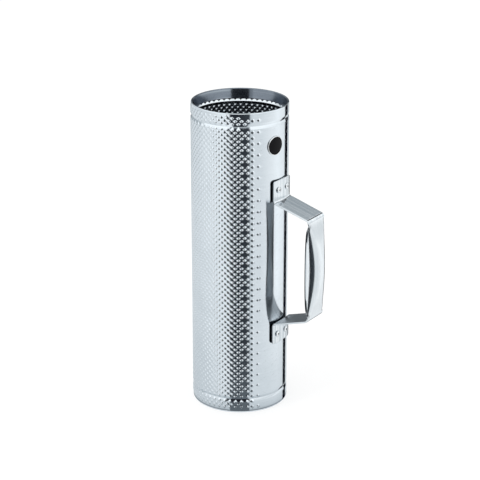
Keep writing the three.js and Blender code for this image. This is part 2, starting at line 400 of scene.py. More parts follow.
def fold_profile():
    """The folded edge at either end, from the outside over to the wall's inner face.

    Each row has a radius, a distance in from the end, and the lean of the surface before and after it,
    in degrees from facing out through facing along the tube's end.
    """
    inner = TUBE_RADIUS - 2 * TUBE_WALL
    rows = []
    for lean in FOLD_STEPS:
        turn = math.radians(lean)
        radius = TUBE_RADIUS - HEM_ROUNDING * (1 - math.cos(turn))
        rows.append((radius, HEM_ROUNDING * (1 - math.sin(turn)), lean, lean))
    flap = 180 - HEM_TILT_DEGREES
    for step in FOLD_STEPS:
        turn = math.radians(90 + step)
        lean = min(90 + step, flap)
        radius = inner + HEM_ROUNDING * (1 + math.cos(turn))
        rows.append((radius, HEM_ROUNDING * (1 - math.sin(turn)), lean, lean))
    for lean in (180, 225, 270):
        turn = math.radians(lean)
        radius = inner - HEM_LEAN + HEM_EDGE_ROUNDING * (1 + math.cos(turn))
        before = flap if lean == 180 else lean
        rows.append((radius, HEM_DEPTH - HEM_EDGE_ROUNDING * (1 + math.sin(turn)), before, lean))
    rows.append((TUBE_RADIUS - TUBE_WALL - HEM_CLEARANCE, HEM_DEPTH, 270, 360))
    return rows


def make_tube(outside_look, inside_look, hem_look):
    """The embossed sheet: an outer and an inner skin of the same lattice, joined over the folded edges."""
    hidden = HEM_DEPTH - ROW_STEP
    inner_lines = [line for line in range(ROW_LINES) if hidden < line_z(line) < TUBE_HEIGHT - hidden]
    outer = Skin(TUBE_RADIUS, 1, range(ROW_LINES), (DOME_MID_RADIUS, DOME_RADIUS), (8, 4), True)
    inner = Skin(TUBE_RADIUS - TUBE_WALL, -1, inner_lines, (PIT_RADIUS,), (4,), False)
    outer_numbers = outer.build()
    inner_numbers = inner.build()
    points = outer.points + inner.points
    rises = outer.rises + inner.rises
    corners = outer.corners + inner.corners
    shift = len(outer.points)
    faces = outer.faces + [tuple(n + shift for n in numbers) for numbers in inner.faces]
    columns = len(outer.angles)
    slots = [OUTSIDE_SLOT] * len(outer.faces) + [INSIDE_SLOT] * len(inner.faces)
    for end, up, line, inner_line in (
        (0.0, -1, 0, inner_lines[0]),
        (TUBE_HEIGHT, 1, ROW_LINES - 1, inner_lines[-1]),
    ):
        rows = [([outer_numbers[column, line] for column in range(columns)], 0, 0)]
        for radius, inset, before, after in fold_profile():
            rows.append((range(len(points), len(points) + columns), before, after))
            for angle in outer.angles:
                points.append((radius * math.cos(angle), radius * math.sin(angle), end - up * inset))
                rises.append(0.0)
        inner_row = [inner_numbers[column, inner_line] + shift for column in range(columns)]
        rows.append((inner_row, 360, 180))
        for (low, _, low_lean), (high, high_lean, _) in zip(rows, rows[1:]):
            slots += [HEM_SLOT if low_lean > HEM_START_DEGREES else OUTSIDE_SLOT] * columns
            for column in range(columns):
                after = (column + 1) % columns
                quad = [
                    (low[column], column, low_lean),
                    (low[after], after, low_lean),
                    (high[after], after, high_lean),
                    (high[column], column, high_lean),
                ]
                if up > 0:
                    quad.reverse()
                faces.append(tuple(number for number, _, _ in quad))
                for _, place, lean in quad:
                    angle = outer.angles[place]
                    flat = math.cos(math.radians(lean))
                    rise = up * math.sin(math.radians(lean))
                    corners.append((flat * math.cos(angle), flat * math.sin(angle), rise))
    tube = add_mesh("tube_sheet", points, faces, corners)
    add_attribute(tube, "rise", "FLOAT", rises)
    tube.data.polygons.foreach_set("material_index", slots)
    return dress(tube, "tube_steel", ["tube"], outside_look, inside_look, hem_look)


# Handle

def strap_station(x, z, angle, half_width, edge_radius, edge_turn, lip_turn=0.0, inset=0.0):
    """A section of the strap: its outer face's middle at (x, z), facing at an angle above straight out."""
    return {
        "x": x,
        "z": z,
        "out_x": math.cos(angle),
        "out_z": math.sin(angle),
        "half_width": half_width,
        "edge_radius": edge_radius,
        "edge_turn": edge_turn,
        "lip_turn": lip_turn,
        "inset": inset,
    }


def grip_station(place, half_length):
    """A section of the grip, from 1 where the upper corner ends through 0 at mid-height to -1."""
    fullness = 1 - place * place
    bow_slope = 2 * place * GRIP_BOW * BOW_POWER * fullness ** (BOW_POWER - 1) / half_length
    return strap_station(
        FOOT_SEAT + GRIP_REACH + GRIP_BOW * fullness ** BOW_POWER,
        place * half_length,
        math.atan(bow_slope),
        CORNER_HALF_WIDTH + (GRIP_HALF_WIDTH - CORNER_HALF_WIDTH) * fullness,
        edge_radius=max(LEAST_EDGE_RADIUS, GRIP_EDGE_RADIUS * fullness),
        edge_turn=math.pi / 2 * min(1, fullness / EDGE_TURN_SHARE),
        lip_turn=LIP_TURN * math.sqrt(fullness),
    )


def plain_station(x, z, angle, half_width, curve_share, inset=0.0):
    """A section outside the grip, hollowed towards the tube by a share of the foot's curve."""
    bend = curve_share / FOOT_CURVE
    return strap_station(
        x,
        z,
        angle,
        half_width,
        edge_radius=1 / bend if bend else LEAST_EDGE_RADIUS,
        edge_turn=math.asin(half_width * bend),
        inset=inset,
    )


def upper_stations():
    """Sections of the upper half of the strap, from the foot's end to the middle of the grip."""
    foot_end = HANDLE_LENGTH / 2
    foot_root = foot_end - FOOT_LENGTH
    stations = []
    for k in range(FOOT_END_STEPS + 1):
        turn = math.pi / (2 * FOOT_END_STEPS) * k
        back = EDGE_ROUNDING * (1 - math.cos(turn))
        stations.append(foot_section(foot_end, back, EDGE_ROUNDING * (1 - math.sin(turn))))
    for k in range(1, FOOT_CORNER_STEPS + 1):
        back = EDGE_ROUNDING + (FOOT_CORNER - EDGE_ROUNDING) * k / FOOT_CORNER_STEPS
        stations.append(foot_section(foot_end, back, 0.0))
    corner_x = FOOT_SEAT + GRIP_REACH
    corner_z = GRIP_LENGTH / 2
    slope = math.atan2(corner_x - FOOT_FACE, foot_root - corner_z)
    root_tangent = ROOT_BEND * math.tan(slope / 2)
    corner_tangent = CORNER_BEND * math.tan(slope / 2)
    for k in range(BEND_STEPS + 1):
        angle = slope * k / BEND_STEPS
        x = FOOT_FACE + ROOT_BEND * (1 - math.cos(angle))
        z = foot_root + root_tangent - ROOT_BEND * math.sin(angle)
        stations.append(plain_station(x, z, angle, STRAP_HALF_WIDTH, 1 - k / BEND_STEPS))
    root_end = stations[-1]
    arm_end_x = corner_x - CORNER_BEND * (1 - math.cos(slope))
    arm_end_z = corner_z - corner_tangent + CORNER_BEND * math.sin(slope)
    # A section part way along the arm, from where the painted shade on the inner face grows towards the
    # corner
    x = root_end["x"] + (arm_end_x - root_end["x"]) * ARM_PAINTED_SHADE_START
    z = root_end["z"] + (arm_end_z - root_end["z"]) * ARM_PAINTED_SHADE_START
    stations.append(plain_station(x, z, slope, STRAP_HALF_WIDTH, 0))
    for k in range(BEND_STEPS + 1):
        angle = slope * (1 - k / BEND_STEPS)
        x = corner_x - CORNER_BEND * (1 - math.cos(angle))
        z = corner_z - corner_tangent + CORNER_BEND * math.sin(angle)
        stations.append(plain_station(x, z, angle, CORNER_HALF_WIDTH, 0))
    for k in range(1, GRIP_STEPS + 1):
        place = math.cos(math.pi / 2 * k / GRIP_STEPS)
        stations.append(grip_station(place, corner_z - corner_tangent))
    return stations


def foot_section(foot_end, back, inset):
    """A section of the foot a little back from its end, where its corners are round."""
    reach = min(1.0, back / FOOT_CORNER)
    narrow = FOOT_CORNER * (1 - math.sqrt(1 - (1 - reach) ** 2))
    return plain_station(FOOT_FACE, foot_end - back, 0, STRAP_HALF_WIDTH - narrow, 1, inset)


def section_point(station, run, depth):
    """Point of a section at a distance from its middle along the face, and at a depth under the face."""
    edge_radius = station["edge_radius"]
    edge_turn = station["edge_turn"]
    flat = flat_run(station)
    turned = min(max(run - flat, 0) / edge_radius, edge_turn)
    rolled = max(run - flat - edge_radius * edge_turn, 0) / LIP_RADIUS
    turn = turned + rolled
    edge_u = edge_radius * math.sin(turned) + LIP_RADIUS * (math.sin(turn) - math.sin(turned))
    edge_v = edge_radius * (1 - math.cos(turned)) + LIP_RADIUS * (math.cos(turned) - math.cos(turn))
    if not station["lip_turn"]:
        rolled_past = max(run - flat - edge_radius * edge_turn, 0)
        turn = turned
        edge_u = edge_radius * math.sin(turned) + rolled_past * math.cos(turned)
        edge_v = edge_radius * (1 - math.cos(turned)) + rolled_past * math.sin(turned)
    u = min(run, flat) + edge_u - depth * math.sin(turn)
    return u, -edge_v - depth * math.cos(turn)


def flat_run(station):
    edge_turn = station["edge_turn"]
    widest_turn = min(edge_turn + station["lip_turn"], math.pi / 2)
    lip_reach = LIP_RADIUS * (math.sin(widest_turn) - math.sin(edge_turn))
    return station["half_width"] - station["edge_radius"] * math.sin(edge_turn) - lip_reach


def half_outline(station):
    """(distance from the middle, depth) points of half a section, from the outer face round the edge."""
    rolled = station["edge_radius"] * station["edge_turn"]
    length = flat_run(station) + rolled + LIP_RADIUS * station["lip_turn"]
    inset = station["inset"]
    rounding = min(EDGE_ROUNDING, STRAP_THICKNESS / 2 - inset)
    last = length - inset - rounding
    shares = [k / ACROSS_STEPS for k in range(ACROSS_STEPS + 1)]
    outer = [(last * share, inset) for share in shares]
    inner = [(last * share, STRAP_THICKNESS - inset) for share in reversed(shares)]
    edge = []
    for k in range(1, EDGE_STEPS):
        lean = math.pi * k / EDGE_STEPS
        middle = STRAP_THICKNESS / 2 - inset - rounding
        depth = STRAP_THICKNESS / 2 - math.cos(lean) * rounding
        depth += -middle if lean < math.pi / 2 else middle
        edge.append((last + rounding * math.sin(lean), depth))
    return outer + edge + inner


def strap_ring(station):
    """One ring of points round the strap, with each point's place across and round the section."""
    half = half_outline(station)
    right = [section_point(station, run, depth) for run, depth in half]
    left = [(-u, v) for u, v in right[-2:0:-1]]
    ring = []
    for u, v in right + left:
        x, z = station["x"] + v * station["out_x"], MIDDLE_Z + station["z"] + v * station["out_z"]
        ring.append((x, u, z))
    across = [run for run, _ in half] + [-run for run, _ in half[-2:0:-1]]
    depths = [depth for _, depth in half + half[-2:0:-1]]
    return ring, across, depths


def mirrored(station):
    return {**station, "z": -station["z"], "out_z": -station["out_z"]}


def loft(rings):
    """Quads between rings of equal length, with both ends closed across."""
    around = len(rings[0])
    faces = []
    for row in range(len(rings) - 1):
        for column in range(around):
            after = (column + 1) % around
            low, high = row * around, (row + 1) * around
            faces.append((low + column, high + column, high + after, low + after))
    last = (len(rings) - 1) * around
    faces.append(tuple(range(around)))
    faces.append(tuple(range(last + around - 1, last - 1, -1)))
    return [point for ring in rings for point in ring], faces


def strap_painted_shade(station, across, depths):
    """Painted shade at each point of a ring: on the strap's inner face, its cut edges and the grip's rolled
    lips.
    """
    from_middle = abs(station["z"])
    is_foot = from_middle > HANDLE_LENGTH / 2 - FOOT_LENGTH
    near_root = station["x"] < FOOT_SEAT + ROOT_REACH
    # Painted shade: full on the feet's inner face and edges, where the crevice against the tube is shadowed,
    # lighter on the inner face near the arm's root
    inner = 1.0 if is_foot else ROOT_FACE_PAINTED_SHADE if near_root else INNER_FACE_PAINTED_SHADE
    cut = 1.0 if is_foot else GRIP_CUT_PAINTED_SHADE if is_in_grip(station) else 0.0
    # A painted dark reflection along the grip's lips, fading out towards the grip's ends
    lip = min(1, max(0, GRIP_LENGTH / 2 - GRIP_LIP_MARGIN - from_middle) / GRIP_LIP_FADE)
    lip_start = max(across) - GRIP_LIP_WIDTH
    shades = []
    for place, depth in zip(across, depths):
        if depth > STRAP_THICKNESS - EDGE_ROUNDING * 0.5:
            shades.append(inner)
        elif depth > EDGE_ROUNDING * 1.2:
            shades.append(cut)
        else:
            shades.append(lip if abs(place) > lip_start else 0.0)
    return shades


def is_in_grip(station):
    return abs(station["z"]) <= GRIP_LENGTH / 2 - GRIP_END_MARGIN


def make_handle(look):
    upper = upper_stations()
    stations = upper + [mirrored(station) for station in upper[-2::-1]]
    rings, grain, dark, arm = [], [], [], []
    run = 0.0
    before = stations[0]
    for station in stations:
        run += math.hypot(station["x"] - before["x"], station["z"] - before["z"])
        before = station
        ring, across, depths = strap_ring(station)
        rings.append(ring)
        grain += [(place, run, 0) for place in across]
        dark += strap_painted_shade(station, across, depths)
        arm += [0.0 if is_in_grip(station) else 1.0] * len(ring)
    points, faces = loft(rings)
    handle = add_mesh("handle_strap", points, faces)
    add_attribute(handle, "grain", "FLOAT_VECTOR", grain)
    # dark carries the strap's painted shade into its material
    add_attribute(handle, "dark", "FLOAT", dark)
    add_attribute(handle, "arm", "FLOAT", arm)
    weighted = handle.modifiers.new("even_normals", "WEIGHTED_NORMAL")
    weighted.keep_sharp = True
    return dress(handle, "handle_steel", ["handle"], look)


# Rivets and badge

def band_faces(rows, steps, is_loop=False):
    """Quads between rings of points that follow each other, and from the last to the first in a loop."""
    faces = []
    for row in range(rows if is_loop else rows - 1):
        low, high = row * steps, (row + 1) % rows * steps
        for k in range(steps):
            after = (k + 1) % steps
            faces.append((low + k, low + after, high + after, high + k))
    return faces


def lathe(profile, steps, place, is_loop=False):
    """Points and faces of a (radius, distance out) outline turned about +X and moved to a place."""
    points = []
    x, y, z = place
    for radius, out in profile:
        for k in range(steps):
            angle = 2 * math.pi * k / steps
            points.append((x + out, y + radius * math.cos(angle), z + radius * math.sin(angle)))
    return points, band_faces(len(profile), steps, is_loop)


def arc(centre, radius, start, end, steps):
    """(radius, distance out) points of a round corner, angles in degrees from the radius outward."""
    made = []
    for k in range(steps + 1):
        angle = math.radians(start + (end - start) * k / steps)
        made.append((centre[0] + radius * math.cos(angle), centre[1] + radius * math.sin(angle)))
    return made


def rivet_profile(seat):
    """A blind rivet's body: dimpled dome outside, shank, and the bulb swollen against the wall inside."""
    bulb_middle = seat - BULB_LENGTH / 2
    dome = []
    for k in range(HEAD_STEPS + 1):
        angle = math.pi / 2 * k / HEAD_STEPS
        radius = BORE_RADIUS + (HEAD_RADIUS - BORE_RADIUS) * math.cos(angle)
        dome.append((radius, HEAD_BRIM + (HEAD_HEIGHT - HEAD_BRIM) * math.sin(angle)))
    bulb = []
    for k in range(BULB_STEPS + 1):
        angle = math.pi * (k / BULB_STEPS - 0.5)
        radius = SHANK_RADIUS + (BULB_RADIUS - SHANK_RADIUS) * math.cos(angle)
        bulb.append((radius, bulb_middle + BULB_LENGTH / 2 * math.sin(angle)))
    return [
        (BORE_RADIUS, seat - BULB_LENGTH),
        *bulb,
        (SHANK_RADIUS, 0.0),
        (HEAD_RADIUS - 0.15, 0.0),
        (HEAD_RADIUS, 0.1),
        *dome,
        (BORE_RADIUS - 0.05, HEAD_HEIGHT - 0.15),
    ]


def stem_profile(seat):
    """The pull pin left in the bore: round head inside, and a rough broken end down in the dimple."""
    head = seat - BULB_LENGTH - FIT_GAP
    tip = HEAD_HEIGHT - STEM_RECESS
    return [
        (0.001, head - STEM_HEAD_LENGTH),
        *arc((STEM_HEAD_RADIUS - 0.5, head - STEM_HEAD_LENGTH + 0.5), 0.5, -90, 0, 4),
        (STEM_HEAD_RADIUS, head),
        (STEM_RADIUS, head),
        (STEM_RADIUS, tip - 0.1),
        (STEM_RADIUS - 0.1, tip),
        (STEM_RADIUS / 2, tip - 0.12),
        (0.001, tip - 0.05),
    ]


def close_lathe(points, faces, steps):
    """Closes the two ends of a lathed outline that runs from the axis to the axis."""
    last = len(points) - steps
    return faces + [tuple(range(steps))[::-1], tuple(range(last, last + steps))]


def make_rivets(body_look, stem_look):
    height = HANDLE_LENGTH / 2 - RIVET_INSET
    for level, up in (("upper", 1), ("lower", -1)):
        for row, side in (("front", -1), ("rear", 1)):
            name = f"{level}_{row}"
            y = side * RIVET_SPACING / 2
            place = (FOOT_FACE - FOOT_DROP_AT_RIVET + FIT_GAP, y, MIDDLE_Z + up * height)
            outermost = abs(y) + BULB_RADIUS
            seat = math.sqrt((TUBE_RADIUS - TUBE_WALL) ** 2 - outermost ** 2) - FIT_GAP - place[0]
            points, faces = lathe(rivet_profile(seat), RIVET_STEPS, place, is_loop=True)
            body = add_mesh(f"rivet_body_{name}", points, faces)
            dress(body, "rivet_steel", [f"rivet_{name}"], body_look)
            points, faces = lathe(stem_profile(seat), RIVET_STEPS, place)
            stem = add_mesh(f"rivet_pin_{name}", points, close_lathe(points, faces, RIVET_STEPS))
            dress(stem, "stem_steel", [f"rivet_stem_{name}"], stem_look)
            for piece in (body, stem):
                piece.data.set_sharp_from_angle(angle=SHARP_ANGLE)


def wrapped_disc(name, profile):
    """A round piece of (radius, stand-off) outline, bent round the tube at the badge's place."""
    middle = -BADGE_OFFSET / TUBE_RADIUS
    points = []
    for reach, off in profile:
        for k in range(BADGE_STEPS):
            turn = 2 * math.pi * k / BADGE_STEPS
            angle = middle + math.asin(reach * math.cos(turn) / TUBE_RADIUS)
            radius = TUBE_RADIUS + FIT_GAP + off
            z = BADGE_Z + reach * math.sin(turn)
            points.append((radius * math.cos(angle), radius * math.sin(angle), z))
    faces = band_faces(len(profile), BADGE_STEPS)
    piece = add_mesh(name, points, close_lathe(points, faces, BADGE_STEPS))
    piece.data.set_sharp_from_angle(angle=SHARP_ANGLE)
    return piece


def make_badge(rim_look, face_look):
    """The round badge, its face left bare: a metal plate with a raised rim and a black filling."""
    well = BADGE_RADIUS - BADGE_RIM_WIDTH
    bead = BADGE_RIM_WIDTH / 2
    reaches = [k / 8 for k in range(1, 9)]
    plate = wrapped_disc(
        "badge_rim",
        [
            *[(BADGE_RADIUS * reach, 0.0) for reach in reaches],
            *arc((BADGE_RADIUS - bead, BADGE_RIM_HEIGHT - bead), bead, 0, 180, 10),
            *[(well * reach, BADGE_BASE) for reach in reversed(reaches)],
        ],
    )
    dress(plate, "badge_metal", ["badge_plate"], rim_look)
    edge = well - FILLING_GAP
    soft = FILLING_ROUNDING
    face = BADGE_RIM_HEIGHT - FILLING_RECESS
    crown = [((edge - soft) * reach, face + FILLING_CROWN * (1 - reach ** 2)) for reach in reaches[-2::-1]]
    filling = wrapped_disc(
        "badge_filling",
        [
            *[(edge * reach, BADGE_BASE + FIT_GAP / 3) for reach in reaches],
            *arc((edge - soft, face - soft), soft, 0, 90, 4),
            *crown,
        ],
    )
    dress(filling, "badge_black", ["badge_inlay"], face_look)


# Materials

# Metres from the tube's middle height where the inside has no painted shade yet, and where its painted shade
# is full
INSIDE_PAINTED_SHADE_FROM_MIDDLE = (0.149, 0.143)


class Look:
    """A material and its node tree, with short calls for adding and linking nodes."""

    def __init__(self, name):
        self.material = bpy.data.materials.new(name)
        self.material.use_nodes = True
        self.tree = self.material.node_tree
        self.shader = self.tree.nodes["Principled BSDF"]

    def node(self, kind, inputs=(), **settings):
        made = self.tree.nodes.new(kind)
        for key, value in settings.items():
            setattr(made, key, value)
        for key, value in dict(inputs).items():
            self.feed(made.inputs[key], value)
        return made

    def feed(self, socket, value):
        """Links a socket, or sets its own value."""
        if isinstance(value, bpy.types.NodeSocket):
            self.tree.links.new(value, socket)
        else:
            socket.default_value = value

    def set(self, **inputs):
        for key, value in inputs.items():
            self.feed(self.shader.inputs[key.replace("_", " ")], value)

    def attribute(self, name, output="Fac"):
        return self.node("ShaderNodeAttribute", attribute_name=name).outputs[output]

    def object_place(self):
        return self.node("ShaderNodeTexCoord").outputs["Object"]

    def stretched(self, place, scale):
        return self.node("ShaderNodeMapping", {"Vector": place, "Scale": scale}).outputs["Vector"]

    def noise(self, place, scale, detail=3.0, roughness=0.5):
        inputs = {"Vector": place, "Scale": scale, "Detail": detail, "Roughness": roughness}
        return self.node("ShaderNodeTexNoise", inputs).outputs["Fac"]

    def ranged(self, value, low, high, to_low=0.0, to_high=1.0):
        inputs = {"Value": value, "From Min": low, "From Max": high, "To Min": to_low, "To Max": to_high}
        return self.node("ShaderNodeMapRange", inputs).outputs["Result"]

    def maths(self, operation, first, second):
        return self.node("ShaderNodeMath", {0: first, 1: second}, operation=operation).outputs["Value"]

    def mixed(self, share, first, second):
        return self.node("ShaderNodeMix", {0: share, 6: first, 7: second}, data_type="RGBA").outputs[2]

    def bumps(self, *layers):
        """Adds up bump layers of (height, strength, distance in metres) into one normal."""
        normal = None
        for height, strength, distance in layers:
            inputs = {"Height": height, "Strength": strength, "Distance": distance}
            if normal is not None:
                inputs["Normal"] = normal
            normal = self.node("ShaderNodeBump", inputs).outputs["Normal"]
        self.feed(self.shader.inputs["Normal"], normal)


class Steel(Look):
    """Metal with fine grain along one way, between a bright and a dull colour, and broad smudges."""

    def __init__(self, name, grain_scale, bright, dull, smooth, rough, anisotropy=0.0, attribute=None):
        super().__init__(name)
        place = self.attribute(attribute, "Vector") if attribute else self.object_place()
        self.grain = self.noise(self.stretched(place, grain_scale), 1.0, 4.0, 0.6)
        self.smudge = self.noise(self.object_place(), 38.0, 4.0, 0.55)
        wear = self.maths("ADD", self.grain, self.smudge)
        self.colour = self.mixed(self.ranged(wear, 0.75, 1.25), (*dull, 1), (*bright, 1))
        self.roughness = self.ranged(wear, 0.7, 1.3, rough, smooth)
        self.set(Base_Color=self.colour, Metallic=1.0)
        self.set(Roughness=self.roughness, Anisotropic=anisotropy)


class SheetSteel(Steel):
    """Rolled sheet whose grain and gloss run round the tube."""

    def __init__(self, name, bright, dull, smooth, rough):
        super().__init__(name, (30, 30, 2600), bright, dull, smooth, rough, anisotropy=0.5)
        tangent = self.node("ShaderNodeTangent", direction_type="RADIAL", axis="Z")
        self.feed(self.shader.inputs["Tangent"], tangent.outputs["Tangent"])
        self.set(Anisotropic_Rotation=0.25)


def tube_look():
    """Bright sheet, scraped brighter on the crowns of the domes."""
    look = SheetSteel("tube_rolled_steel", (0.745, 0.795, 0.84), (0.69, 0.74, 0.785), 0.08, 0.14)
    crown = look.ranged(look.attribute("rise"), 0.45, 1.0)
    scrape = look.noise(look.stretched(look.object_place(), (900, 900, 60)), 1.0, 3.0, 0.6)
    worn = look.maths("MULTIPLY", crown, look.ranged(scrape, 0.42, 0.6))
    look.set(
        Base_Color=look.mixed(worn, look.colour, (0.92, 0.95, 0.98, 1)),
        Roughness=look.maths("ADD", look.roughness, look.maths("MULTIPLY", worn, 0.05)),
    )
    pebble = look.noise(look.object_place(), 900.0, 2.0, 0.5)
    look.bumps((look.grain, 0.12, 0.00005), (pebble, 0.05, 0.00008))
    return look.material


def tube_inside_look():
    """The same sheet inside, unpolished, with painted shade that darkens it further than a little way in from
    the ends.
    """
    look = SheetSteel("tube_inside_steel", (0.80, 0.84, 0.88), (0.68, 0.72, 0.76), 0.08, 0.15)
    height = look.node("ShaderNodeSeparateXYZ", {"Vector": look.object_place()}).outputs["Z"]
    from_middle = look.maths("ABSOLUTE", look.maths("SUBTRACT", height, MIDDLE_Z * MM), 0.0)
    # Painted shade: deeper inside the tube, the base colour turns dark grey
    deep = look.ranged(from_middle, *INSIDE_PAINTED_SHADE_FROM_MIDDLE)
    look.set(Base_Color=look.mixed(deep, look.colour, (0.45, 0.48, 0.51, 1)))
    look.bumps((look.grain, 0.12, 0.00005))
    return look.material


def tube_hem_look():
    """The folded edge inside, its mill side outward: grey-blue, drawn in lines round the tube."""
    look = SheetSteel("tube_folded_edge", (0.205, 0.235, 0.275), (0.155, 0.18, 0.215), 0.12, 0.19)
    drawn = look.noise(look.stretched(look.object_place(), (6, 6, 520)), 1.0, 2.0, 0.5)
    line = look.ranged(drawn, 0.52, 0.66)
    look.set(Base_Color=look.mixed(line, look.colour, (0.30, 0.34, 0.38, 1)))
    look.bumps((look.grain, 0.12, 0.00005))
    return look.material


def handle_look():
    """Satin steel with its grain along the strap, streaked arms and fine lengthwise scratches, and painted
    shade on its inner face, at its feet and along the grip's edges and lips.
    """
    bright, dull = (0.82, 0.855, 0.885), (0.72, 0.755, 0.785)
    look = Steel("handle_brushed_steel", (2.2, 0.012, 1), bright, dull, 0.12, 0.20, attribute="grain")
    place = look.attribute("grain", "Vector")
    scratch = look.ranged(look.noise(look.stretched(place, (6.0, 0.03, 1)), 1.0, 2.0, 0.5), 0.68, 0.74)
    streak = look.ranged(look.noise(look.stretched(place, (0.34, 0.006, 1)), 1.0, 2.0, 0.5), 0.36, 0.6)
    on_arm = look.ranged(look.attribute("arm"), 0, 1, 0.15, 1)
    plain = look.maths("MULTIPLY", look.maths("SUBTRACT", 1.0, streak), on_arm)
    streaked = look.mixed(plain, look.colour, (0.60, 0.65, 0.69, 1))
    scratched = look.mixed(scratch, streaked, (0.55, 0.59, 0.63, 1))
    # Painted shade: dark turns the base colour towards near black and makes it rougher
    dark = look.attribute("dark")
    look.set(
        Base_Color=look.mixed(dark, scratched, (0.028, 0.035, 0.042, 1)),
        Roughness=look.maths("ADD", look.roughness, look.maths("MULTIPLY", dark, 0.3)),
    )
    look.bumps((look.grain, 0.12, 0.00005), (scratch, 0.3, 0.00003))
    return look.material


def rivet_look():
    """Pressed steel, a little dented."""
    look = Steel("rivet_pressed_steel", (700, 700, 700), (0.86, 0.88, 0.90), (0.74, 0.77, 0.80), 0.10, 0.22)
    look.bumps((look.grain, 0.15, 0.00005), (look.smudge, 0.1, 0.0003))
    return look.material


def stem_look():
    """The rough end of a pin that has been pulled off, its near-black colour painted shade of the hole in the
    rivet's middle.
    """
    look = Steel(
        "pin_end_painted_shade", (1500, 1500, 1500), (0.07, 0.072, 0.075), (0.02, 0.021, 0.022), 0.35, 0.6
    )
    look.bumps((look.grain, 0.6, 0.0002))
    return look.material


def badge_rim_look():
    """Polished metal."""
    look = Steel("badge_polished_rim", (500, 500, 500), (0.88, 0.89, 0.90), (0.78, 0.79, 0.80), 0.06, 0.16)
    look.bumps((look.grain, 0.05, 0.00003))
    return look.material


def badge_face_look():
    """Black gloss filling with a faint orange-peel surface and fine hairlines."""
    look = Look("badge_black_filling")
    place = look.object_place()
    peel = look.noise(place, 520.0, 2.0, 0.5)
    haze = look.noise(place, 90.0, 4.0, 0.6)
    hairline = look.noise(look.stretched(place, (180, 2600, 900)), 1.0, 2.0, 0.5)
    look.set(
        Base_Color=look.mixed(haze, (0.004, 0.004, 0.005, 1), (0.009, 0.009, 0.010, 1)),
        Roughness=look.ranged(look.maths("ADD", haze, hairline), 0.7, 1.3, 0.1, 0.24),
        Metallic=0.0,
        Specular_IOR_Level=0.06,
    )
    look.bumps((peel, 0.08, 0.0001), (hairline, 0.04, 0.00003))
    return look.material


make_tube(tube_look(), tube_inside_look(), tube_hem_look())
make_handle(handle_look())
make_rivets(rivet_look(), stem_look())
make_badge(badge_rim_look(), badge_face_look())


# Studio

FLOOR_HALF_SIZE = 9000.0
FLOOR_COLOUR = (0.8, 0.8, 0.8, 1)
FLOOR_COLOUR_SEEN = (0.42, 0.42, 0.42, 1)
FLOOR_GLOW_SEEN = 0.62

# The tent: its size, and the headings of its dark gaps
TENT_LIFT = 1.0
TENT_FLOOR_REACHES = (1, 6, 20, 40, 80, 120, 165, 220, 275, 320, 400, 600, 900, 1200, 1500)
TENT_WALL_HEIGHTS = (60, 163, 300, 450, 600, 800, 1000, 1250, 1500, 1900)
TENT_ROOF = ((1200, 2300), (700, 2600), (0, 2700))
TENT_HOLE_RADIUS = 47.0
TENT_HOLE_POINTS = 24
FRONT_GAP = (-24, 23)
FRONT_GAP_AT_WALL = (-33, 23)
RIGHT_GAP = (130.5, 150.5)
BACK_GAP = (157, 201)
GAP_EDGE = 0.6
LEFT_BACK = (200, 270)

# How bright the tent is, as tables of (places, shades). A place is a reach along the floor in
# millimetres, a heading in degrees, or a rise in degrees above the tube's middle for the wall. The dark
# gaps fade into the shade beside them past the last place that has no shade of its own.
FLOOR_SHADES = ((0, 6, 20, 40, 120, 275, 600, 1500), (0.10, 0.68, 0.79, 0.84, 0.87, 0.90, 0.92, 0.84))
RIGHT_FLOOR_GAIN = ((40, 165, 400), (0.05, 0.13, 0.26))
RIGHT_FLOOR_MIDDLE, RIGHT_FLOOR_SPREAD = 100, 50
LEFT_FLOOR_FACTORS = ((0, 20, 40, 120, 275, 600), (1.1, 1.0, 0.88, 0.88, 0.96, 1))
LEFT_FLOOR_HEADINGS = (-60, -40)
FRONT_FLOOR_START = 40
FRONT_FLOOR_GAIN = ((-78, -48, -24, 23, 25, 32), (0, 0.2, 0.22, -0.17, -0.14, 0))
WALL_SHADES = ((-8, 0, 5, 12, 22, 90), (0.92, 0.86, 0.98, 1.15, 1.25, 1.3))
LEFT_BACK_WALL_SHADES = ((-8, 0, 12, 22, 32, 90), (0.7, 0.5, 0.55, 0.95, 1.2, 1.25))
FRONT_GAP_REACHES = (0, 40, 80, 165)
FRONT_GAP_NEAR_SHADES = (0.16, 0.15, 0.10)
FRONT_GAP_FAR_SHADES = ((-5, 23), (0.03, 0.065))
FRONT_GAP_RISES, FRONT_GAP_WALL_SHADES = (-8, 27, 34), (0.02, 0.02)
FRONT_GAP_LEFT_RISES, FRONT_GAP_LEFT_SHADES = (-8, 12, 24), (0.03, 0.03)
BACK_GAP_REACHES, BACK_GAP_FAR_SHADE = (600, 1500), 0.3
BACK_GAP_RISES, BACK_GAP_WALL_SHADES = (0, 8, 13, 24, 37, 60), (0.24, 0.24, 0.08, 0.08, 0.62)
TENT_HOLE_SHADE = 0.01


def toward(bearing):
    """Unit direction on the floor at a bearing in degrees from the camera."""
    angle = math.radians(bearing - CAMERA_BEARING)
    return np.array((math.cos(angle), math.sin(angle)))


def add_camera():
    data = bpy.data.cameras.new("camera")
    data.lens = CAMERA_LENS
    camera = bpy.data.objects.new("camera", data)
    x, y = toward(0) * CAMERA_DISTANCE
    camera.location = Vector((AXIS_X + x, y, CAMERA_HEIGHT)) * MM
    camera.rotation_euler = (math.radians(90 - CAMERA_PITCH), 0, math.radians(90 - CAMERA_BEARING))
    bpy.context.scene.collection.objects.link(camera)
    bpy.context.scene.camera = camera


def empty_look(name):
    look = Look(name)
    look.tree.nodes.clear()
    return look


def seen_directly(look):
    """1 on camera, glossy and transmission rays, where the background has to show white."""
    rays = look.node("ShaderNodeLightPath").outputs
    seen = look.maths("MAXIMUM", rays["Is Camera Ray"], rays["Is Glossy Ray"])
    return look.maths("MAXIMUM", seen, rays["Is Transmission Ray"])


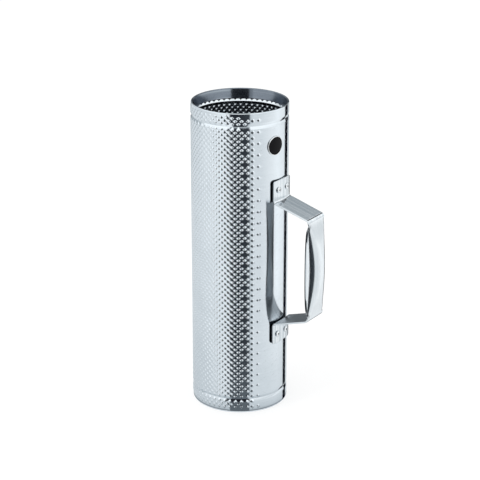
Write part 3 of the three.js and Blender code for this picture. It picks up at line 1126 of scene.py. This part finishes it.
def add_floor():
    size = FLOOR_HALF_SIZE
    corners = [(-size, -size, 0), (size, -size, 0), (size, size, 0), (-size, size, 0)]
    floor = add_mesh("floor", corners, [(0, 1, 2, 3)])
    look = empty_look("floor_paper")
    plain = look.node("ShaderNodeBsdfDiffuse", {"Color": FLOOR_COLOUR}).outputs[0]
    shaded = look.node("ShaderNodeBsdfDiffuse", {"Color": FLOOR_COLOUR_SEEN}).outputs[0]
    glow = look.node("ShaderNodeEmission", {"Strength": FLOOR_GLOW_SEEN}).outputs[0]
    bright = look.node("ShaderNodeAddShader", {0: shaded, 1: glow}).outputs[0]
    mix = look.node("ShaderNodeMixShader", {0: seen_directly(look), 1: plain, 2: bright}).outputs[0]
    look.node("ShaderNodeOutputMaterial", {"Surface": mix})
    floor.data.materials.append(look.material)


def tent_headings():
    """Headings, in degrees of bearing, of the tent's ribs, doubled at the sharp edges of its dark gaps."""
    edges = (*FRONT_GAP, FRONT_GAP_AT_WALL[0], *RIGHT_GAP, *BACK_GAP)
    ribs = {float(heading) for heading in range(-170, 190, 10)}
    ribs.update(edge + side for edge in edges for side in (-GAP_EDGE, GAP_EDGE))
    ribs.update((FRONT_GAP_FAR_SHADES[0][0], *FRONT_FLOOR_GAIN[0][-2:]))
    return sorted(ribs)


def tent_shade(heading, reach, height):
    """How bright the tent is along a heading: on the floor at a reach, or up the wall at a height."""
    on_floor = height <= TENT_LIFT
    rise = math.degrees(math.atan2(height - MIDDLE_Z, reach + TUBE_RADIUS))
    behind = heading % 360
    if on_floor:
        to_right = max(0, 1 - abs(heading - RIGHT_FLOOR_MIDDLE) / RIGHT_FLOOR_SPREAD)
        shade = np.interp(reach, *FLOOR_SHADES) + np.interp(reach, *RIGHT_FLOOR_GAIN) * to_right
        shade *= np.interp(heading, LEFT_FLOOR_HEADINGS, (np.interp(reach, *LEFT_FLOOR_FACTORS), 1))
        if reach >= FRONT_FLOOR_START:
            shade += np.interp(heading, *FRONT_FLOOR_GAIN)
    elif LEFT_BACK[0] < behind < LEFT_BACK[1]:
        shade = np.interp(rise, *LEFT_BACK_WALL_SHADES)
    else:
        shade = np.interp(rise, *WALL_SHADES)
    if FRONT_GAP[0] <= heading <= FRONT_GAP[1]:
        if on_floor:
            far = np.interp(heading, *FRONT_GAP_FAR_SHADES)
            return np.interp(reach, FRONT_GAP_REACHES, (*FRONT_GAP_NEAR_SHADES, far))
        return np.interp(rise, FRONT_GAP_RISES, (*FRONT_GAP_WALL_SHADES, shade))
    if FRONT_GAP_AT_WALL[0] <= heading <= FRONT_GAP[0] and not on_floor:
        return np.interp(rise, FRONT_GAP_LEFT_RISES, (*FRONT_GAP_LEFT_SHADES, shade))
    if RIGHT_GAP[0] <= heading <= RIGHT_GAP[1]:
        return 0.0
    if BACK_GAP[0] <= behind <= BACK_GAP[1]:
        if on_floor:
            return np.interp(reach, BACK_GAP_REACHES, (shade, BACK_GAP_FAR_SHADE))
        return np.interp(rise, BACK_GAP_RISES, (*BACK_GAP_WALL_SHADES, shade))
    return shade


def add_tent():
    """A pale tent with dark gaps that only reflections see: floor, round wall and roof.

    A rib starts at the tube, where the surface that reflects its heading to the camera is.
    """
    ribs = [(heading / 2, heading) for heading in tent_headings()]
    ribs += [(start, 180.0) for start in (100, 135, 180, 225, 260)]
    profile = [(reach, TENT_LIFT) for reach in TENT_FLOOR_REACHES]
    profile += [(TENT_FLOOR_REACHES[-1], height) for height in TENT_WALL_HEIGHTS]
    profile += TENT_ROOF
    points, shades = [], []
    for start, heading in ribs:
        for reach, height in profile:
            place = toward(heading) * reach
            if height < TENT_ROOF[0][1]:
                place = toward(start) * TUBE_RADIUS + place
            points.append((*place, height))
            shades.append(tent_shade(heading, reach, height))
    faces = []
    rows = len(profile)
    for rib in range(len(ribs)):
        low, high = rib * rows, (rib + 1) % len(ribs) * rows
        for row in range(rows - 1):
            faces.append((low + row, low + row + 1, high + row + 1, high + row))
    faces.append(tuple(range(len(points), len(points) + TENT_HOLE_POINTS)))
    for k in range(TENT_HOLE_POINTS):
        turn = 2 * math.pi * k / TENT_HOLE_POINTS
        points.append((TENT_HOLE_RADIUS * math.cos(turn), TENT_HOLE_RADIUS * math.sin(turn), TENT_LIFT))
        shades.append(TENT_HOLE_SHADE)
    tent = add_mesh("tent", points, faces)
    tent.data.polygons.foreach_set("use_smooth", [False] * len(faces))
    tints = []
    for shade in shades:
        cool = max(0, 1 - shade)
        tints.append((shade * (0.98 - 0.12 * cool), shade, shade * (1 + 0.08 * cool) + 0.004))
    add_attribute(tent, "tint", "FLOAT_VECTOR", tints)
    look = empty_look("tent_cloth")
    glow = look.node("ShaderNodeEmission", {"Color": look.attribute("tint", "Color")}).outputs[0]
    look.node("ShaderNodeOutputMaterial", {"Surface": glow})
    tent.data.materials.append(look.material)
    tent.visible_camera = False
    tent.visible_diffuse = False
    tent.visible_transmission = False
    tent.visible_volume_scatter = False
    tent.visible_shadow = False


def add_world():
    world = bpy.data.worlds.new("studio")
    bpy.context.scene.world = world
    world.use_nodes = True
    world.node_tree.nodes["Background"].inputs["Color"].default_value = (1, 1, 1, 1)


def add_lamp(name, bearing, distance, height, size, watts):
    data = bpy.data.lights.new(name, "AREA")
    data.shape = "DISK"
    data.size = size * MM
    data.energy = watts
    lamp = bpy.data.objects.new(name, data)
    x, y = toward(bearing) * distance
    lamp.location = Vector((AXIS_X + x, y, height)) * MM
    aim = Vector((AXIS_X, 0, MIDDLE_Z)) * MM - lamp.location
    lamp.rotation_euler = aim.to_track_quat("-Z", "Y").to_euler()
    lamp.visible_glossy = False
    bpy.context.scene.collection.objects.link(lamp)


add_camera()
add_floor()
add_tent()
add_world()
add_lamp("softbox_left", bearing=-60, distance=1500, height=1500, size=900, watts=6)
bpy.context.scene.view_settings.view_transform = "Standard"
